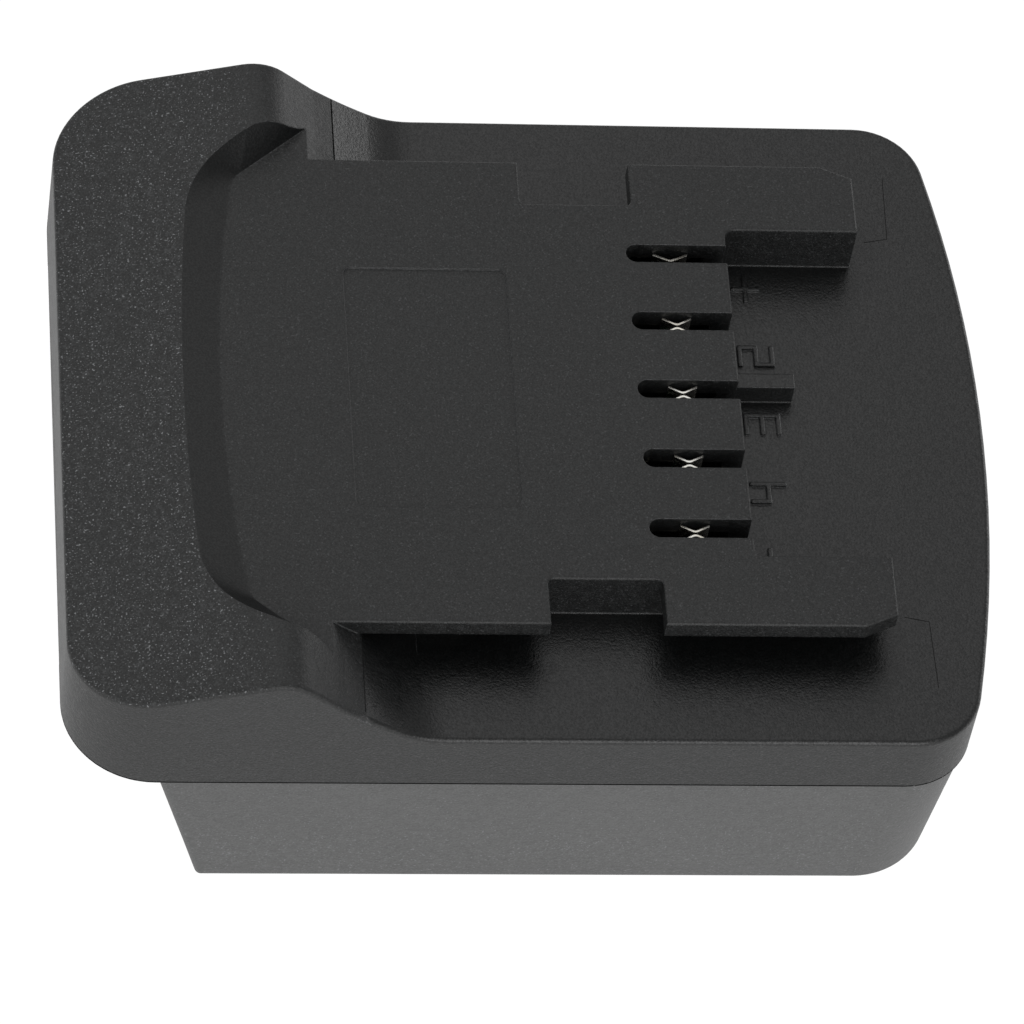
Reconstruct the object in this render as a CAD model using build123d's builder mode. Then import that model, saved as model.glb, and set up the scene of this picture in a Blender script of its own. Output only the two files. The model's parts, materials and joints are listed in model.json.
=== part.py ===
from build123d import *
import math
import os

# A slide-on adapter between a cordless tool and another make of battery pack.
# The deck on top slides into the tool, and the battery slides into the foot below.
# Lengths are millimetres. +X points at the contact end, +Z is up, and the origin
# is the bottom centre. The hood with its release button is at the -X end.

# Driving dimensions: the outside
overall_length = 92.7
overall_width = 75.0
foot_height = 18.6
rim_height = 7.8
deck_rise = 6.1
hood_corner_radius = 9.0
tip_corner_radius = 7.0
tip_bulge = 4.5
top_edge_radius = 0.5

# Driving dimensions: the hood's side profile. Shares here and below are of the overall
# length, and a place whose name says from_end is counted from the hood end
hood_end_drop = 2.4
crest_rise = 3.7
crest_from_end_share = 0.23031
crest_radius = 4.5
steep_run_share = 0.05502
steep_drop = 4.6
slope_foot_from_end_share = 0.37271
slope_sag = 0.2
slope_foot_radius = 9.0

# Driving dimensions: the recess that clears the tool's foot
recess_from_end_share = 0.16990
recess_sag = 2.0
recess_half_width = 25.1
recess_flare_run = 12.6
recess_flare_angle = 40.0
recess_top_flare_angle = 16.0
recess_corner_radius = 3.0
recess_top_corner_radius = 25.0
recess_rise = 4.0
recess_back_lean = 15.2
recess_corner_lean = 8.8
recess_corner_spread = 2.1

# Driving dimensions: the deck with its rails
neck_margin = 6.0
rail_reach = 5.2
lip_thickness = 2.1
deck_from_end_share = 0.24272
finger_end_from_end_share = 0.72546
deck_end_from_end_share = 0.87163
bay_margin = 3.1
bay_corner_radius = 1.0
deck_chamfer_run = 3.2
deck_chamfer_side = 1.4
deck_edge_radius = 0.25
notch_from_end_share = 0.50378
notch_length_share = 0.12136
notch_corner_radius = 0.6
label_from_end_share = 0.30636
label_length_share = 0.17584
label_width = 28.7
label_depth = 0.2
label_corner_radius = 0.8

# Driving dimensions: contact slots, key rib and raised marks
slot_count = 5
slot_pitch = 8.3
slot_width = 2.2
slot_from_end_share = 0.61489
key_rib_length_share = 0.06742
key_rib_width = 1.7
key_rib_height = 2.5
key_rib_y = 3.7
mark_height = 0.3
mark_stroke = 0.42
mark_size = 3.25
mark_width = 2.1
mark_gap = 3.05
mark_root = 0.1
sign_size = 2.9
sign_gap = 2.6
numeral_bar_shares = {
    2: [(0, 1, False), (1, 0.5, True), (0, 0, False), (-1, -0.5, True), (0, -1, False)],
    3: [(0, 1, False), (1, 0.5, True), (0, 0, False), (1, -0.5, True), (0, -1, False)],
    4: [(-1, 0.5, True), (1, 0.5, True), (0, 0, False), (1, -0.5, True)],
}

# Driving dimensions: walls and general clearances
cover_wall = 2.0
rim_wall = 2.2
deck_wall = 2.2
foot_wall = 2.0
cut_over = 1.0
seat_gap = 0.1
floor_gap = 0.2
slide_gap = 0.3
pin_gap = 0.05

# Driving dimensions: the foot and the battery cavity under it
foot_left_top_from_end = 9.1
foot_left_bottom_from_end = 14.15
foot_tip_top_inset = 0.4
foot_tip_bottom_inset = 1.9
foot_side_top_inset = 0.6
foot_side_bottom_inset = 0.8
foot_bulge = 4.2
foot_left_corner_radius = 0.7
foot_tip_top_radius = 6.5
foot_tip_bottom_radius = 8.3
foot_edge_radius = 0.5
cavity_height = 13.0
cavity_width = 58.8
cavity_closed_from_tip_share = 0.14455
cavity_corner_radius = 2.5
lip_mouth_width = 50.4
battery_lip_thickness = 3.2
pocket_floor = 3.6
pocket_from_screw = 4.5
pocket_wall = 1.7
end_pocket_length_share = 0.05394
end_pocket_width = 40.0
spigot_height = 1.8
spigot_wall = 1.4

# Driving dimensions: case screws and their bosses
screw_left_from_end = 20.3
screw_right_from_tip = 14.3
screw_from_side = 4.7
screw_shank_radius = 1.25
screw_head_radius = 2.1
screw_head_height = 1.6
screw_seat_height = 11.0
screw_drive_radius = 0.9
screw_drive_sides = 6
screw_drive_depth = 0.9
screw_grip = 5.6
screw_spare_depth = 0.3
boss_radius = 2.9

# Driving dimensions: release button and the arms that draw the latches in
button_width = 46.1
button_arch = 1.95
button_drop = 4.4
button_lean = 3.2
button_head_length = 6.0
button_lower_radius = 3.0
button_travel = 2.4
button_flange_overlap = 1.5
button_flange_thickness = 1.6
button_flange_height = 6.0
grip_rib_count = 3
grip_rib_pitch = 1.3
grip_rib_radius = 0.4
grip_rib_width = 34.0
grip_rib_inset = 0.9
arm_thickness = 1.6
arm_side_gap = 1.7
arm_width = 8.1
arm_end_margin = 0.6

# Driving dimensions: side latches
latch_from_end_share = 0.41316
latch_length = 8.0
latch_height = 3.0
latch_tail = 8.4
latch_reach = 1.8
latch_ramp_length = 3.4
latch_travel_ratio = 0.8
latch_pin_radius = 1.2
latch_pin_from_arm_side = 2.9
latch_window_gap = 0.15
latch_guide_wall = 1.2

# Driving dimensions: button springs
spring_arm_gap = 1.3
spring_length = 11.6
spring_mean_radius = 2.15
spring_wire_radius = 0.3
spring_turns = 7
spring_pin_radius = 1.5
spring_button_pin = 2.0
spring_post_pin = 4.0
spring_post_thickness = 1.8
spring_post_width = 7.0

# Driving dimensions: contact clips and their carrier
clip_from_slot_end_share = 0.05070
clip_depth = 0.9
main_clip_depth = 1.45
clip_leaf_length = 2.9
main_clip_leaf_length = 3.5
clip_leaf_thickness = 0.25
clip_mouth = 0.05
clip_flare = 0.8
clip_bend_radius = 0.6
clip_base_width = 3.6
clip_base_length = 4.4
clip_base_thickness = 0.5
clip_tail_width = 2.4
clip_tail_drop = 2.6
carrier_length = 8.0
carrier_height = 5.0
carrier_margin = 2.6
carrier_foot_width = 3.0
finger_rib_thickness = 1.6

# Driving dimensions: battery-side blades, their block and the bus straps
blade_thickness = 0.8
blade_height = 6.4
blade_reach = 11.0
blade_grip = 6.0
blade_rise = 5.2
blade_tip_chamfer = 0.3
blade_tail_width = 3.6
blade_tail_rise = 2.2
block_length = 8.4
block_side_margin = 4.9
block_rise = 4.2
block_flange = 1.4
block_flange_thickness = 1.4
block_end_gap = 0.6
strap_thickness = 0.8
strap_height = 1.4
strap_gap_above = 0.6

# Driving dimensions: circuit board, what sits on it, and the wires
board_catch_gap = 0.8
board_carrier_gap = 1.7
board_width = 28.0
board_thickness = 1.2
board_standoff = 1.6
board_standoff_radius = 2.0
board_hole_inset = 2.6
board_screw_radius = 0.9
board_screw_head_radius = 1.6
board_screw_head_height = 1.0
chip_size = 6.0
chip_height = 1.5
chip_place_share = 0.36
capacitor_radius = 2.0
capacitor_height = 4.2
capacitor_place_share = 0.74
capacitor_y = 6.5
fuse_length = 7.0
fuse_width = 2.6
fuse_height = 2.4
fuse_place_share = 0.72
fuse_y = 6.8
resistor_length = 1.6
resistor_width = 0.8
resistor_height = 0.6
resistor_pitch = 2.4
resistor_count = 4
resistor_chip_gap = 1.8
wire_radius = 0.5
wire_bend_radius = 2.0
wire_detour = 2.2
wire_detour_run = 9.35
wire_return_run = 3.4

# Driving dimensions: the steel catch for the battery's hook
catch_post_gap = 0.7
catch_length = 12.0
catch_width = 21.0
catch_thickness = 1.2
hook_window_length = 6.0
hook_window_width = 12.0
hook_window_margin = 0.6
catch_screw_radius = 0.9
catch_screw_head_radius = 1.6
catch_screw_head_height = 0.9
catch_screw_inset = 2.3
catch_screw_grip = 1.6

# Levels and places worked out from the driving dimensions: the shells
half_width = overall_width / 2
end_x = -overall_length / 2
tip_x = overall_length / 2
z_crease = foot_height
z_flange = z_crease + rim_height
z_deck = z_flange + deck_rise
z_crest = z_deck + crest_rise
z_hood_end = z_deck - hood_end_drop
z_lip = z_deck - lip_thickness
z_deck_under = z_deck - deck_wall
z_flange_under = z_flange - cover_wall
z_roof_top = cavity_height + foot_wall
z_spigot = z_crease + spigot_height
slope_foot_x = end_x + overall_length * slope_foot_from_end_share
deck_start_x = end_x + overall_length * deck_from_end_share
finger_end_x = end_x + overall_length * finger_end_from_end_share
deck_end_x = end_x + overall_length * deck_end_from_end_share
slot_start_x = end_x + overall_length * slot_from_end_share
slot_ys = [slot_pitch * (i - (slot_count - 1) / 2) for i in range(slot_count)]
between_slot_ys = [(low + high) / 2 for low, high in zip(slot_ys, slot_ys[1:])]
neck_width = 2 * (slot_ys[-1] + neck_margin)
rail_width = neck_width + 2 * rail_reach
bay_width = 2 * (slot_ys[-1] + bay_margin)
neck_inner_y = neck_width / 2 - cover_wall
cavity_end_x = tip_x - overall_length * cavity_closed_from_tip_share
foot_left_x = end_x + foot_left_top_from_end
screw_left_x = end_x + screw_left_from_end
screw_right_x = tip_x - screw_right_from_tip
screw_y = half_width - screw_from_side
screw_places = [(x, side * screw_y) for x in (screw_left_x, screw_right_x) for side in (-1, 1)]

# Levels and places: release button, springs and latches
flange_front_x = end_x + rim_wall + slide_gap
flange_back_x = flange_front_x + button_flange_thickness
z_button_flange = z_spigot + floor_gap
z_latch = z_flange + (z_lip - z_flange - latch_height) / 2
z_arm = z_latch - slide_gap - arm_thickness
z_spring = z_button_flange + seat_gap + spring_mean_radius + spring_wire_radius
arm_outer_y = neck_inner_y - arm_side_gap
arm_inner_y = arm_outer_y - arm_width
spring_y = arm_inner_y - spring_arm_gap - spring_post_width / 2
spring_places = [(side * spring_y, z_spring) for side in (-1, 1)]
post_x = flange_back_x + spring_length
latch_x = end_x + overall_length * latch_from_end_share
latch_inner_y = neck_inner_y - latch_tail
latch_pin_y = arm_outer_y - latch_pin_from_arm_side
latch_tip_y = neck_width / 2 + latch_reach
latch_travel = button_travel * latch_travel_ratio

# Levels and places: contacts, blades and the board
clip_x = slot_start_x + overall_length * clip_from_slot_end_share
z_carrier_top = z_flange_under - clip_base_thickness - seat_gap
z_carrier = z_carrier_top - carrier_height
z_clip_tail = z_carrier - clip_tail_drop
block_end_x = cavity_end_x - block_end_gap
block_start_x = block_end_x - block_length
block_half_width = slot_ys[-1] + block_side_margin
blade_ys = [slot_ys[0], slot_ys[1], slot_ys[-2], slot_ys[-1]]
blade_tip_x = block_start_x - blade_reach
blade_root_x = block_start_x + blade_grip
blade_tail_x = blade_root_x - blade_tail_width
z_block_top = z_roof_top + block_flange_thickness
z_strap = z_block_top + strap_gap_above
z_blade_tail = z_block_top + blade_tail_rise
catch_x = post_x + spring_post_thickness + catch_post_gap + catch_length / 2
board_start_x = catch_x + catch_length / 2 + board_catch_gap
board_end_x = clip_x - carrier_length / 2 - board_carrier_gap
board_length = board_end_x - board_start_x
chip_x = board_start_x + chip_place_share * board_length
capacitor_x = board_start_x + capacitor_place_share * board_length
fuse_x = board_start_x + fuse_place_share * board_length
resistor_x = chip_x + chip_size / 2 + resistor_chip_gap + resistor_length / 2
z_board = z_roof_top + board_standoff
z_board_top = z_board + board_thickness
z_wire = z_board + board_thickness / 2
board_holes = [
    (x, side * (board_width / 2 - board_hole_inset))
    for x in (board_start_x + board_hole_inset, board_end_x - board_hole_inset)
    for side in (-1, 1)
]
catch_screw_places = [(catch_x, side * (catch_width / 2 - catch_screw_inset)) for side in (-1, 1)]


def plan_outline(left_x, right_x, half, bulge, left_radius, right_radius):
    """Plan shape with a straight left end and a bulging right end."""
    side_end_x = right_x - bulge
    with BuildSketch() as outline:
        with BuildLine():
            Polyline((side_end_x, -half), (left_x, -half), (left_x, half), (side_end_x, half))
            ThreePointArc((side_end_x, half), (right_x, 0), (side_end_x, -half))
        make_face()
        fillet(outline.vertices().group_by(Axis.X)[0], left_radius)
        fillet(outline.vertices().group_by(Axis.X)[-1], right_radius)
    return outline.sketch


def cover_outline(inset):
    """The cover's plan shape, drawn in by the given inset."""
    return plan_outline(
        end_x + inset,
        tip_x - inset,
        half_width - inset,
        tip_bulge,
        hood_corner_radius - inset,
        tip_corner_radius - inset,
    )


def foot_outline(at_top, inset):
    """The foot's plan shape at the crease or at the bottom, drawn in by the inset."""
    left = foot_left_top_from_end if at_top else foot_left_bottom_from_end
    tip = foot_tip_top_inset if at_top else foot_tip_bottom_inset
    side = foot_side_top_inset if at_top else foot_side_bottom_inset
    corner = foot_tip_top_radius if at_top else foot_tip_bottom_radius
    return plan_outline(
        end_x + left + inset,
        tip_x - tip - inset,
        half_width - side - inset,
        foot_bulge,
        foot_left_corner_radius,
        corner - inset,
    )


def cover_side_profile():
    """Hood, slope and flange seen from the side, drawn as x and height."""
    crest = (end_x + overall_length * crest_from_end_share, z_crest)
    steep_foot = (crest[0] + overall_length * steep_run_share, z_crest - steep_drop)
    slope_foot = (slope_foot_x, z_flange)
    with BuildSketch() as profile:
        with BuildLine():
            FilletPolyline((end_x, z_hood_end), crest, steep_foot, radius=crest_radius)
            SagittaArc(steep_foot, slope_foot, -slope_sag)
            Polyline(
                slope_foot,
                (tip_x, z_flange),
                (tip_x, z_crease),
                (end_x, z_crease),
                (end_x, z_hood_end),
            )
        make_face()
        fillet(profile.vertices().sort_by_distance(slope_foot)[0], slope_foot_radius)
    return profile.sketch


def hollow_side_profile():
    """The hollow under the hood and flange, no higher than the deck's underside."""
    with BuildSketch() as profile:
        add(cover_side_profile())
        offset(amount=-cover_wall)
        with Locations((0, (z_crease + z_flange_under) / 2)):
            Rectangle(overall_length - 2 * rim_wall, z_flange_under - z_crease + 2 * cut_over)
        with Locations((0, z_deck_under)):
            Rectangle(
                overall_length,
                crest_rise + deck_wall,
                align=(Align.CENTER, Align.MIN),
                mode=Mode.SUBTRACT,
            )
        with Locations((0, z_flange_under)):
            Rectangle(
                overall_length, cover_wall, align=(Align.MIN, Align.MIN), mode=Mode.SUBTRACT
            )
    return profile.sketch


def recess_outline(back_lean, corner_lean, corner_spread, flare_angle, corner_radius):
    """Plan shape of the recess: a shallow arc at the back and two flaring sides."""
    flare = math.radians(flare_angle)
    arc_x = end_x + overall_length * recess_from_end_share
    foot_corner_x = arc_x + recess_sag
    corner_x = foot_corner_x - corner_lean
    flare_x = foot_corner_x + recess_flare_run
    corner_y = recess_half_width + corner_spread
    flare_y = corner_y + (flare_x - corner_x) * math.tan(flare)
    with BuildSketch() as outline:
        with BuildLine():
            ThreePointArc((corner_x, -corner_y), (arc_x - back_lean, 0), (corner_x, corner_y))
            Polyline(
                (corner_x, corner_y),
                (flare_x, flare_y),
                (flare_x, -flare_y),
                (corner_x, -corner_y),
            )
        make_face()
        fillet(outline.vertices().group_by(Axis.X)[0], corner_radius)
    return outline.sketch


def deck_outline(width):
    """Deck or neck in plan: a plate with the terminal bay cut into its contact end."""
    length = deck_end_x - deck_start_x
    with BuildSketch() as outline:
        with Locations((deck_start_x, 0)):
            Rectangle(length, width, align=(Align.MIN, Align.CENTER))
        with BuildSketch(mode=Mode.SUBTRACT) as bay:
            with Locations((finger_end_x, 0)):
                Rectangle(length, bay_width, align=(Align.MIN, Align.CENTER))
            fillet(bay.vertices().group_by(Axis.X)[0], bay_corner_radius)
    return outline.sketch


def rail_outline():
    """The deck plate with its chamfered ends and the two rail notches."""
    notch_x = end_x + overall_length * (notch_from_end_share + notch_length_share / 2)
    notch_depth = (rail_width - neck_width) / 2
    with BuildSketch() as outline:
        add(deck_outline(rail_width))
        for side in (-1, 1):
            with BuildLine():
                Polyline(
                    (deck_end_x, side * (rail_width / 2 - deck_chamfer_side)),
                    (deck_end_x, side * rail_width / 2),
                    (deck_end_x - deck_chamfer_run, side * rail_width / 2),
                    close=True,
                )
            make_face(mode=Mode.SUBTRACT)
            with BuildSketch(mode=Mode.SUBTRACT) as notch:
                with Locations((notch_x, side * (neck_width / 2 + notch_depth))):
                    Rectangle(overall_length * notch_length_share, 2 * notch_depth)
                inward = notch.vertices().sort_by(Axis.Y, reverse=side < 0)
                fillet(inward[:2], notch_corner_radius)
    return outline.sketch


def contact_slots():
    """The open-ended contact slots in plan."""
    with BuildSketch() as slots:
        for y in slot_ys:
            with Locations((slot_start_x + slot_width / 2, y)):
                Circle(slot_width / 2)
                Rectangle(
                    finger_end_x - slot_start_x, slot_width, align=(Align.MIN, Align.CENTER)
                )
    return slots.sketch


def sign_outline(is_plus):
    """A plus or a minus sign."""
    with BuildSketch() as sign:
        Rectangle(sign_size + mark_stroke, mark_stroke)
        if is_plus:
            Rectangle(mark_stroke, sign_size)
    return sign.sketch


def numeral_outline(number):
    """A plain numeral made of straight bars, drawn upright."""
    with BuildSketch() as mark:
        for across_share, up_share, is_upright in numeral_bar_shares[number]:
            with Locations((across_share * mark_width / 2, up_share * mark_size / 2)):
                if is_upright:
                    Rectangle(mark_stroke, mark_size / 2 + mark_stroke)
                else:
                    Rectangle(mark_width + mark_stroke, mark_stroke)
    return mark.sketch


def button_opening(grow):
    """The release button seen from the hood end, as y and height, with an arched top."""
    half = button_width / 2 + grow
    with BuildSketch() as opening:
        with BuildLine():
            ThreePointArc((-half, z_crease), (0, z_crease + button_arch + grow), (half, z_crease))
            Polyline(
                (half, z_crease),
                (half, z_crease - button_drop - grow),
                (-half, z_crease - button_drop - grow),
                (-half, z_crease),
            )
        make_face()
    return opening.sketch


# The recess in the hood, as a solid to take away
with BuildPart() as recess_tool:
    with BuildSketch(Plane.XY.offset(z_deck)):
        add(recess_outline(0, 0, 0, recess_flare_angle, recess_corner_radius))
    with BuildSketch(Plane.XY.offset(z_deck + recess_rise)):
        add(
            recess_outline(
                recess_back_lean,
                recess_corner_lean,
                recess_corner_spread,
                recess_top_flare_angle,
                recess_top_corner_radius,
            )
        )
    loft(ruled=True)

# The cover's hollow, as a solid to take away
with BuildPart() as cover_hollow:
    with BuildSketch(Plane.XY.offset(z_crease - cut_over)):
        add(cover_outline(rim_wall))
    extrude(amount=z_deck_under - z_crease + cut_over)
    with BuildSketch(Plane.XZ):
        add(hollow_side_profile())
    extrude(amount=overall_width, both=True, mode=Mode.INTERSECT)
    with BuildSketch(Plane.XY.offset(z_crease)):
        with Locations((deck_start_x + cover_wall, 0)):
            Rectangle(
                finger_end_x - 2 * cover_wall - deck_start_x,
                2 * neck_inner_y,
                align=(Align.MIN, Align.CENTER),
            )
    extrude(amount=z_deck_under - z_crease)

# The deck plate with its rails
with BuildPart() as deck_plate:
    with BuildSketch(Plane.XY.offset(z_lip)):
        add(rail_outline())
    extrude(amount=lip_thickness)
    shown_edges = deck_plate.edges().group_by(Axis.Z)[-1].filter_by(
        lambda edge: edge.center().X > deck_start_x + cut_over
    )
    fillet(shown_edges, deck_edge_radius)

# Upper cover: hood, flange and rim, with the deck, its rails and the contact cells
with BuildPart() as upper_cover:
    with BuildSketch(Plane.XY.offset(z_crease)):
        add(cover_outline(0))
    extrude(amount=z_crest - z_crease)
    with BuildSketch(Plane.XZ):
        add(cover_side_profile())
    extrude(amount=overall_width, both=True, mode=Mode.INTERSECT)
    top_edges = upper_cover.edges().filter_by(
        lambda edge: edge.center().Z > z_crease + rim_height / 2
    )
    cross_edges = top_edges.filter_by(Axis.Y).filter_by(
        lambda edge: edge.center().X > end_x + cut_over
    )
    upright_edges = top_edges.filter_by(Axis.Z)
    fillet(
        [edge for edge in top_edges if edge not in cross_edges and edge not in upright_edges],
        top_edge_radius,
    )
    add(recess_tool.part, mode=Mode.SUBTRACT)
    with BuildSketch(Plane.XY.offset(z_flange - seat_gap)):
        add(deck_outline(neck_width))
    extrude(amount=z_lip - z_flange + 2 * seat_gap)
    add(deck_plate.part)
    add(cover_hollow.part, mode=Mode.SUBTRACT)
    # Ribs under the fingers part the contact cells from each other
    with BuildSketch(Plane.XY.offset(z_flange_under)):
        with Locations(*[(slot_start_x, y) for y in between_slot_ys]):
            Rectangle(
                finger_end_x - cover_wall / 2 - slot_start_x,
                finger_rib_thickness,
                align=(Align.MIN, Align.CENTER),
            )
    extrude(amount=z_deck_under - z_flange_under + seat_gap)
    with BuildSketch(Plane.XY.offset(z_flange)):
        add(contact_slots())
    extrude(amount=deck_rise + cut_over, mode=Mode.SUBTRACT)
    # The shallow label recess is bare
    with BuildSketch(Plane.XY.offset(z_deck - label_depth)):
        with Locations((end_x + overall_length * (label_from_end_share + label_length_share / 2), 0)):
            RectangleRounded(overall_length * label_length_share, label_width, label_corner_radius)
    extrude(amount=label_depth + cut_over, mode=Mode.SUBTRACT)
    # The key rib codes the terminal bay
    with BuildSketch(Plane.XY.offset(z_flange - seat_gap)):
        with Locations((finger_end_x - seat_gap, key_rib_y)):
            Rectangle(
                overall_length * key_rib_length_share + seat_gap,
                key_rib_width,
                align=(Align.MIN, Align.CENTER),
            )
    extrude(amount=key_rib_height + seat_gap)
    # Raised signs and plain numerals beside the slots, read from the contact end
    with BuildSketch(Plane.XY.offset(z_flange - mark_root)):
        for is_plus, y in ((False, slot_ys[0]), (True, slot_ys[-1])):
            with Locations(Location((finger_end_x + sign_gap, y), 90)):
                add(sign_outline(is_plus))
        for number, y in zip(reversed(numeral_bar_shares), slot_ys[1:-1]):
            with Locations(Location((finger_end_x + mark_gap, y), 90)):
                add(numeral_outline(number))
    extrude(amount=mark_height + mark_root)
    # Windows in the neck for the side latches, and guide ribs inside them
    with BuildSketch(Plane.XY.offset(z_latch - latch_window_gap)):
        with Locations((latch_x, 0)):
            Rectangle(latch_length + 2 * latch_window_gap, rail_width)
    extrude(amount=latch_height + 2 * latch_window_gap, mode=Mode.SUBTRACT)
    with BuildSketch(Plane.XY.offset(z_latch)):
        guide_x = (latch_length + latch_guide_wall) / 2 + latch_window_gap
        guide_y = (latch_inner_y + neck_inner_y) / 2
        with Locations(*[(latch_x + a * guide_x, b * guide_y) for a in (-1, 1) for b in (-1, 1)]):
            Rectangle(latch_guide_wall, neck_inner_y - latch_inner_y)
    extrude(amount=z_deck_under - z_latch + seat_gap)
    # Bosses for the case screws, with their pilot holes
    for boss_x, boss_top in ((screw_left_x, z_deck_under), (screw_right_x, z_flange_under)):
        with BuildSketch(Plane.XY.offset(z_crease + floor_gap)):
            with Locations((boss_x, screw_y), (boss_x, -screw_y)):
                Circle(boss_radius)
        extrude(amount=boss_top - z_crease)
    with BuildSketch(Plane.XY.offset(z_crease)):
        with Locations(*screw_places):
            Circle(screw_shank_radius + pin_gap)
    extrude(amount=screw_grip + screw_spare_depth, mode=Mode.SUBTRACT)
    # The arched opening for the release button in the hood's end wall
    with BuildSketch(Plane.YZ.offset(end_x - cut_over)):
        add(button_opening(slide_gap))
    extrude(amount=rim_wall + 2 * cut_over, mode=Mode.SUBTRACT)

# Lower shell: the foot with the battery cavity, its lips and the inside floor
with BuildPart() as lower_shell:
    with BuildSketch(Plane.XY):
        add(foot_outline(False, 0))
    with BuildSketch(Plane.XY.offset(z_crease)):
        add(foot_outline(True, 0))
    loft(ruled=True)
    fillet(lower_shell.faces().sort_by(Axis.Z)[0].edges(), foot_edge_radius)
    # The floor of the overhang under the hood, open where the button hangs down
    with BuildSketch(Plane.XY.offset(z_crease)):
        add(cover_outline(rim_wall + seat_gap))
        with Locations((foot_left_x + foot_wall, 0)):
            Rectangle(
                overall_length, overall_width, align=(Align.MIN, Align.CENTER), mode=Mode.SUBTRACT
            )
        with Locations((end_x, 0)):
            Rectangle(
                2 * (button_head_length + button_travel + slide_gap),
                button_width + 2 * slide_gap,
                mode=Mode.SUBTRACT,
            )
    extrude(amount=spigot_height)
    # The spigot that centres the cover's rim
    with BuildSketch(Plane.XY.offset(z_crease - seat_gap)):
        add(cover_outline(rim_wall + seat_gap))
        add(cover_outline(rim_wall + seat_gap + spigot_wall), mode=Mode.SUBTRACT)
        with Locations((end_x, 0)):
            Rectangle(2 * foot_left_top_from_end, overall_width, mode=Mode.SUBTRACT)
    extrude(amount=spigot_height + seat_gap)
    # The tray that holds the electrics
    with BuildSketch(Plane.XY.offset(z_roof_top)):
        add(foot_outline(True, foot_wall))
    extrude(amount=z_crease - z_roof_top, mode=Mode.SUBTRACT)
    # Pockets that thin the cheeks and the closed end
    with BuildSketch(Plane.XY.offset(pocket_floor)):
        pocket_start_x = screw_left_x + pocket_from_screw
        pocket_end_x = screw_right_x - pocket_from_screw
        pocket_inner_y = cavity_width / 2 + pocket_wall
        pocket_outer_y = half_width - foot_side_bottom_inset - foot_wall
        pocket_x = (pocket_start_x + pocket_end_x) / 2
        pocket_y = (pocket_inner_y + pocket_outer_y) / 2
        with Locations((pocket_x, pocket_y), (pocket_x, -pocket_y)):
            Rectangle(pocket_end_x - pocket_start_x, pocket_outer_y - pocket_inner_y)
        with Locations((cavity_end_x + pocket_wall, 0)):
            Rectangle(
                overall_length * end_pocket_length_share, end_pocket_width, align=(Align.MIN, Align.CENTER)
            )
    extrude(amount=z_crease - pocket_floor, mode=Mode.SUBTRACT)
    # Columns for the case screws
    with BuildSketch(Plane.XY.offset(z_roof_top - seat_gap)):
        with Locations(*screw_places):
            Circle(boss_radius)
    extrude(amount=z_crease - z_roof_top + seat_gap)
    with BuildSketch(Plane.XY.offset(z_crease)):
        with Locations(*screw_places):
            Circle(boss_radius + floor_gap)
    extrude(amount=spigot_height, mode=Mode.SUBTRACT)
    with BuildSketch(Plane.XY):
        with Locations(*screw_places):
            Circle(screw_head_radius + floor_gap)
    extrude(amount=screw_seat_height, mode=Mode.SUBTRACT)
    with BuildSketch(Plane.XY):
        with Locations(*screw_places):
            Circle(screw_shank_radius + pin_gap)
    extrude(amount=z_crease, mode=Mode.SUBTRACT)
    # The battery cavity, open below and at the hood end, with a lip along each side
    with BuildSketch(Plane.XY.offset(battery_lip_thickness)):
        with Locations((end_x, 0)):
            Rectangle(cavity_end_x - end_x, cavity_width, align=(Align.MIN, Align.CENTER))
    extrude(amount=cavity_height - battery_lip_thickness, mode=Mode.SUBTRACT)
    with BuildSketch(Plane.XY) as mouth:
        with Locations((end_x, 0)):
            Rectangle(cavity_end_x - end_x, lip_mouth_width, align=(Align.MIN, Align.CENTER))
        fillet(mouth.vertices().group_by(Axis.X)[-1], cavity_corner_radius)
    extrude(amount=battery_lip_thickness, mode=Mode.SUBTRACT)
    # Window for the blade block and window for the battery's hook
    with BuildSketch(Plane.XY.offset(cavity_height)):
        with Locations((block_start_x - seat_gap, 0)):
            Rectangle(
                block_length + 2 * seat_gap,
                2 * (block_half_width + seat_gap),
                align=(Align.MIN, Align.CENTER),
            )
        with Locations((catch_x, 0)):
            Rectangle(
                hook_window_length + 2 * hook_window_margin,
                hook_window_width + 2 * hook_window_margin,
            )
        with Locations(*catch_screw_places):
            Circle(catch_screw_radius + pin_gap)
    extrude(amount=foot_wall, mode=Mode.SUBTRACT)
    # Posts that the button's springs push against, with a pin inside each spring
    with BuildSketch(Plane.XY.offset(z_roof_top)):
        with Locations((post_x, spring_y), (post_x, -spring_y)):
            Rectangle(spring_post_thickness, spring_post_width, align=(Align.MIN, Align.CENTER))
    extrude(amount=z_spring + spring_mean_radius + spring_wire_radius - z_roof_top)
    with BuildSketch(Plane.YZ.offset(post_x)):
        with Locations(*spring_places):
            Circle(spring_pin_radius)
    extrude(amount=-spring_post_pin)
    # Standoffs for the circuit board
    with BuildSketch(Plane.XY.offset(z_roof_top)):
        with Locations(*board_holes):
            Circle(board_standoff_radius)
            Circle(board_screw_radius + pin_gap, mode=Mode.SUBTRACT)
    extrude(amount=board_standoff)

# Case screws: a head, a shank and a plain drive recess each
with BuildPart() as case_screws:
    with BuildSketch(Plane.XY.offset(screw_seat_height - screw_head_height)):
        with Locations(*screw_places):
            Circle(screw_head_radius)
    extrude(amount=screw_head_height)
    with BuildSketch(Plane.XY.offset(screw_seat_height)):
        with Locations(*screw_places):
            Circle(screw_shank_radius)
    extrude(amount=z_crease + screw_grip - screw_seat_height)
    with BuildSketch(Plane.XY.offset(screw_seat_height - screw_head_height)):
        with Locations(*screw_places):
            RegularPolygon(screw_drive_radius, screw_drive_sides)
    extrude(amount=screw_drive_depth, mode=Mode.SUBTRACT)

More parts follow.
